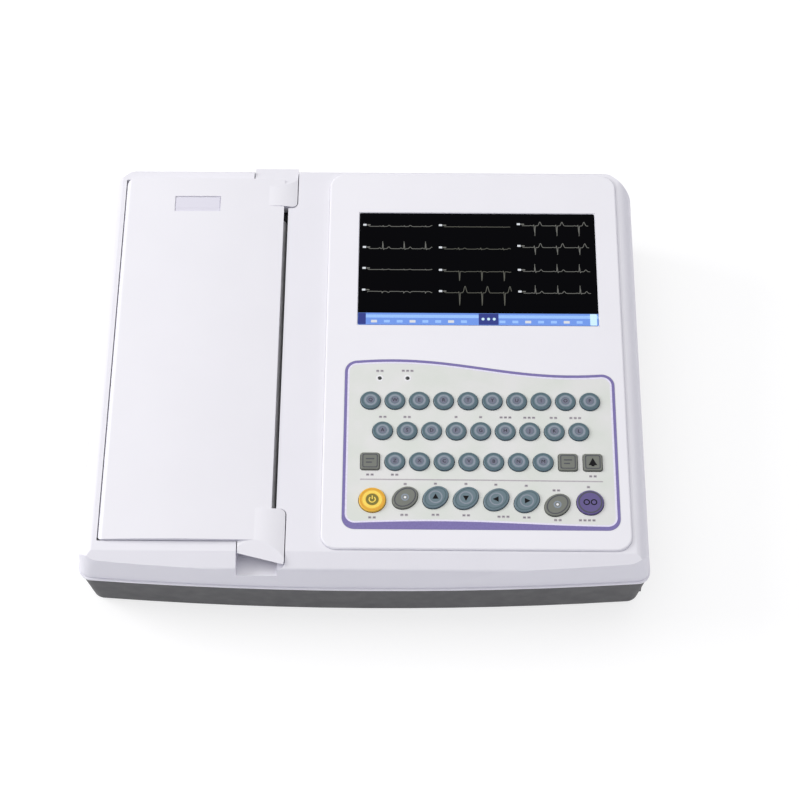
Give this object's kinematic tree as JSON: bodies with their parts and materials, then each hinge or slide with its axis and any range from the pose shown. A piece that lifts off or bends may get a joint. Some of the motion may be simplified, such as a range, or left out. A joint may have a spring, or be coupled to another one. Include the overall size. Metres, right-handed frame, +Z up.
{
  "type": "ecg machine",
  "caption": "Desktop ECG recorder: wedge-shaped case with colour screen, membrane-style keypad, hinged paper cover with platen roller and thermal printer, dark tapered base.",
  "frame": {"origin": "on the table, under the middle of the bounding box", "axes": "+X to the operator's right, +Y to the back, +Z up"},
  "size_m": [0.348, 0.2949, 0.0841],
  "materials": {
    "white_shell": "fine moulded texture, lavender white",
    "cover_plastic": "smooth, slightly glossy white",
    "grey_shell": "fine moulded texture, dark grey",
    "foot_rubber": "matt black",
    "keypad_film": "printed polyester film",
    "screen": "lit display behind glass",
    "circuit_board": "green solder mask",
    "supply_can": "plain sheet",
    "battery_wrap": "shrink sleeve",
    "black_plastic": "moulded black",
    "switch_plastic": "smooth black",
    "bright_metal": "nickel plated",
    "connector_metal": "tin plated",
    "tray_plastic": "moulded mid grey",
    "platen_rubber": "ground rubber on a steel shaft",
    "gear_plastic": "natural acetal",
    "gear_metal": "machined",
    "motor_body": "plated",
    "head_metal": "extruded heat sink with a glazed strip",
    "key_grey": "satin grey-blue",
    "key_square": "satin grey-green",
    "key_yellow": "satin yellow",
    "key_purple": "satin purple"
  },
  "bodies": {
    "chassis": {"ac_inlet": "black_plastic", "battery_door": "grey_shell", "battery_pack": "battery_wrap", "bottom_case": "grey_shell", "control_panel": "white_shell", "data_ports": "connector_metal", "ground_post": "bright_metal", "key_board": "circuit_board", "keypad_overlay": "keypad_film", "lcd_display": "screen", "main_board": "circuit_board", "paper_motor": "motor_body", "paper_tray": "tray_plastic", "patient_connector": "connector_metal", "power_supply": "supply_can", "print_head": "head_metal", "rubber_feet": "foot_rubber", "top_case": "white_shell"},
    "cover": {"paper_cover": "cover_plastic"},
    "platen": {"platen_roller": "platen_rubber", "platen_gear": "gear_plastic"},
    "drive": {"drive_gear": "gear_metal"},
    "rocker": {"power_switch": "switch_plastic"},
    "key_a01": {"key_a01": "key_grey"},
    "key_a02": {"key_a02": "key_grey"},
    "key_a03": {"key_a03": "key_grey"},
    "key_a04": {"key_a04": "key_grey"},
    "key_a05": {"key_a05": "key_grey"},
    "key_a06": {"key_a06": "key_grey"},
    "key_a07": {"key_a07": "key_grey"},
    "key_a08": {"key_a08": "key_grey"},
    "key_a09": {"key_a09": "key_grey"},
    "key_a10": {"key_a10": "key_grey"},
    "key_b01": {"key_b01": "key_grey"},
    "key_b02": {"key_b02": "key_grey"},
    "key_b03": {"key_b03": "key_grey"},
    "key_b04": {"key_b04": "key_grey"},
    "key_b05": {"key_b05": "key_grey"},
    "key_b06": {"key_b06": "key_grey"},
    "key_b07": {"key_b07": "key_grey"},
    "key_b08": {"key_b08": "key_grey"},
    "key_b09": {"key_b09": "key_grey"},
    "key_c01": {"key_c01": "key_square"},
    "key_c02": {"key_c02": "key_grey"},
    "key_c03": {"key_c03": "key_grey"},
    "key_c04": {"key_c04": "key_grey"},
    "key_c05": {"key_c05": "key_grey"},
    "key_c06": {"key_c06": "key_grey"},
    "key_c07": {"key_c07": "key_grey"},
    "key_c08": {"key_c08": "key_grey"},
    "key_c09": {"key_c09": "key_square"},
    "key_c10": {"key_c10": "key_square"},
    "key_power": {"key_power": "key_yellow"},
    "key_d01": {"key_d01": "key_grey"},
    "key_d02": {"key_d02": "key_grey"},
    "key_d03": {"key_d03": "key_grey"},
    "key_d04": {"key_d04": "key_grey"},
    "key_d05": {"key_d05": "key_grey"},
    "key_d06": {"key_d06": "key_grey"},
    "key_print": {"key_print": "key_purple"}
  },
  "joints": [
    {"name": "cover_hinge", "type": "hinge", "parent": "chassis", "child": "cover", "pos_m": [-0.157, 0.00302, 0.07236], "axis": [0, -0.9986, -0.0523], "range_deg": [0, 90]},
    {"name": "platen_spin", "type": "hinge", "parent": "cover", "child": "platen", "pos_m": [-0.062, 0.0034, 0.06497], "axis": [0, 0.9986, 0.0523], "continuous": true},
    {"name": "drive_spin", "type": "hinge", "parent": "chassis", "child": "drive", "pos_m": [-0.06331, 0.11113, 0.05384], "axis": [0, 0.9986, 0.0523], "continuous": true},
    {"name": "power_rocker", "type": "hinge", "parent": "chassis", "child": "rocker", "pos_m": [0.119, 0.1386, 0.022], "axis": [1, 0, 0], "range_deg": [-18, 0]},
    {"name": "press_a01", "type": "slide", "parent": "chassis", "child": "key_a01", "axis": [0, -0.0523, 0.9986], "range_m": [-0.001, 0], "stiffness_N_per_m": 900, "springref_m": 0.0002},
    {"name": "press_a02", "type": "slide", "parent": "chassis", "child": "key_a02", "axis": [0, -0.0523, 0.9986], "range_m": [-0.001, 0], "stiffness_N_per_m": 900, "springref_m": 0.0002},
    {"name": "press_a03", "type": "slide", "parent": "chassis", "child": "key_a03", "axis": [0, -0.0523, 0.9986], "range_m": [-0.001, 0], "stiffness_N_per_m": 900, "springref_m": 0.0002},
    {"name": "press_a04", "type": "slide", "parent": "chassis", "child": "key_a04", "axis": [0, -0.0523, 0.9986], "range_m": [-0.001, 0], "stiffness_N_per_m": 900, "springref_m": 0.0002},
    {"name": "press_a05", "type": "slide", "parent": "chassis", "child": "key_a05", "axis": [0, -0.0523, 0.9986], "range_m": [-0.001, 0], "stiffness_N_per_m": 900, "springref_m": 0.0002},
    {"name": "press_a06", "type": "slide", "parent": "chassis", "child": "key_a06", "axis": [0, -0.0523, 0.9986], "range_m": [-0.001, 0], "stiffness_N_per_m": 900, "springref_m": 0.0002},
    {"name": "press_a07", "type": "slide", "parent": "chassis", "child": "key_a07", "axis": [0, -0.0523, 0.9986], "range_m": [-0.001, 0], "stiffness_N_per_m": 900, "springref_m": 0.0002},
    {"name": "press_a08", "type": "slide", "parent": "chassis", "child": "key_a08", "axis": [0, -0.0523, 0.9986], "range_m": [-0.001, 0], "stiffness_N_per_m": 900, "springref_m": 0.0002},
    {"name": "press_a09", "type": "slide", "parent": "chassis", "child": "key_a09", "axis": [0, -0.0523, 0.9986], "range_m": [-0.001, 0], "stiffness_N_per_m": 900, "springref_m": 0.0002},
    {"name": "press_a10", "type": "slide", "parent": "chassis", "child": "key_a10", "axis": [0, -0.0523, 0.9986], "range_m": [-0.001, 0], "stiffness_N_per_m": 900, "springref_m": 0.0002},
    {"name": "press_b01", "type": "slide", "parent": "chassis", "child": "key_b01", "axis": [0, -0.0523, 0.9986], "range_m": [-0.001, 0], "stiffness_N_per_m": 900, "springref_m": 0.0002},
    {"name": "press_b02", "type": "slide", "parent": "chassis", "child": "key_b02", "axis": [0, -0.0523, 0.9986], "range_m": [-0.001, 0], "stiffness_N_per_m": 900, "springref_m": 0.0002},
    {"name": "press_b03", "type": "slide", "parent": "chassis", "child": "key_b03", "axis": [0, -0.0523, 0.9986], "range_m": [-0.001, 0], "stiffness_N_per_m": 900, "springref_m": 0.0002},
    {"name": "press_b04", "type": "slide", "parent": "chassis", "child": "key_b04", "axis": [0, -0.0523, 0.9986], "range_m": [-0.001, 0], "stiffness_N_per_m": 900, "springref_m": 0.0002},
    {"name": "press_b05", "type": "slide", "parent": "chassis", "child": "key_b05", "axis": [0, -0.0523, 0.9986], "range_m": [-0.001, 0], "stiffness_N_per_m": 900, "springref_m": 0.0002},
    {"name": "press_b06", "type": "slide", "parent": "chassis", "child": "key_b06", "axis": [0, -0.0523, 0.9986], "range_m": [-0.001, 0], "stiffness_N_per_m": 900, "springref_m": 0.0002},
    {"name": "press_b07", "type": "slide", "parent": "chassis", "child": "key_b07", "axis": [0, -0.0523, 0.9986], "range_m": [-0.001, 0], "stiffness_N_per_m": 900, "springref_m": 0.0002},
    {"name": "press_b08", "type": "slide", "parent": "chassis", "child": "key_b08", "axis": [0, -0.0523, 0.9986], "range_m": [-0.001, 0], "stiffness_N_per_m": 900, "springref_m": 0.0002},
    {"name": "press_b09", "type": "slide", "parent": "chassis", "child": "key_b09", "axis": [0, -0.0523, 0.9986], "range_m": [-0.001, 0], "stiffness_N_per_m": 900, "springref_m": 0.0002},
    {"name": "press_c01", "type": "slide", "parent": "chassis", "child": "key_c01", "axis": [0, -0.0523, 0.9986], "range_m": [-0.001, 0], "stiffness_N_per_m": 900, "springref_m": 0.0002},
    {"name": "press_c02", "type": "slide", "parent": "chassis", "child": "key_c02", "axis": [0, -0.0523, 0.9986], "range_m": [-0.001, 0], "stiffness_N_per_m": 900, "springref_m": 0.0002},
    {"name": "press_c03", "type": "slide", "parent": "chassis", "child": "key_c03", "axis": [0, -0.0523, 0.9986], "range_m": [-0.001, 0], "stiffness_N_per_m": 900, "springref_m": 0.0002},
    {"name": "press_c04", "type": "slide", "parent": "chassis", "child": "key_c04", "axis": [0, -0.0523, 0.9986], "range_m": [-0.001, 0], "stiffness_N_per_m": 900, "springref_m": 0.0002},
    {"name": "press_c05", "type": "slide", "parent": "chassis", "child": "key_c05", "axis": [0, -0.0523, 0.9986], "range_m": [-0.001, 0], "stiffness_N_per_m": 900, "springref_m": 0.0002},
    {"name": "press_c06", "type": "slide", "parent": "chassis", "child": "key_c06", "axis": [0, -0.0523, 0.9986], "range_m": [-0.001, 0], "stiffness_N_per_m": 900, "springref_m": 0.0002},
    {"name": "press_c07", "type": "slide", "parent": "chassis", "child": "key_c07", "axis": [0, -0.0523, 0.9986], "range_m": [-0.001, 0], "stiffness_N_per_m": 900, "springref_m": 0.0002},
    {"name": "press_c08", "type": "slide", "parent": "chassis", "child": "key_c08", "axis": [0, -0.0523, 0.9986], "range_m": [-0.001, 0], "stiffness_N_per_m": 900, "springref_m": 0.0002},
    {"name": "press_c09", "type": "slide", "parent": "chassis", "child": "key_c09", "axis": [0, -0.0523, 0.9986], "range_m": [-0.001, 0], "stiffness_N_per_m": 900, "springref_m": 0.0002},
    {"name": "press_c10", "type": "slide", "parent": "chassis", "child": "key_c10", "axis": [0, -0.0523, 0.9986], "range_m": [-0.001, 0], "stiffness_N_per_m": 900, "springref_m": 0.0002},
    {"name": "press_power", "type": "slide", "parent": "chassis", "child": "key_power", "axis": [0, -0.0523, 0.9986], "range_m": [-0.001, 0], "stiffness_N_per_m": 900, "springref_m": 0.0002},
    {"name": "press_d01", "type": "slide", "parent": "chassis", "child": "key_d01", "axis": [0, -0.0523, 0.9986], "range_m": [-0.001, 0], "stiffness_N_per_m": 900, "springref_m": 0.0002},
    {"name": "press_d02", "type": "slide", "parent": "chassis", "child": "key_d02", "axis": [0, -0.0523, 0.9986], "range_m": [-0.001, 0], "stiffness_N_per_m": 900, "springref_m": 0.0002},
    {"name": "press_d03", "type": "slide", "parent": "chassis", "child": "key_d03", "axis": [0, -0.0523, 0.9986], "range_m": [-0.001, 0], "stiffness_N_per_m": 900, "springref_m": 0.0002},
    {"name": "press_d04", "type": "slide", "parent": "chassis", "child": "key_d04", "axis": [0, -0.0523, 0.9986], "range_m": [-0.001, 0], "stiffness_N_per_m": 900, "springref_m": 0.0002},
    {"name": "press_d05", "type": "slide", "parent": "chassis", "child": "key_d05", "axis": [0, -0.0523, 0.9986], "range_m": [-0.001, 0], "stiffness_N_per_m": 900, "springref_m": 0.0002},
    {"name": "press_d06", "type": "slide", "parent": "chassis", "child": "key_d06", "axis": [0, -0.0523, 0.9986], "range_m": [-0.001, 0], "stiffness_N_per_m": 900, "springref_m": 0.0002},
    {"name": "press_print", "type": "slide", "parent": "chassis", "child": "key_print", "axis": [0, -0.0523, 0.9986], "range_m": [-0.001, 0], "stiffness_N_per_m": 900, "springref_m": 0.0002}
  ],
  "couplings": [
    {"joint": "drive_spin", "follows": "platen_spin", "ratio": -0.75}
  ]
}
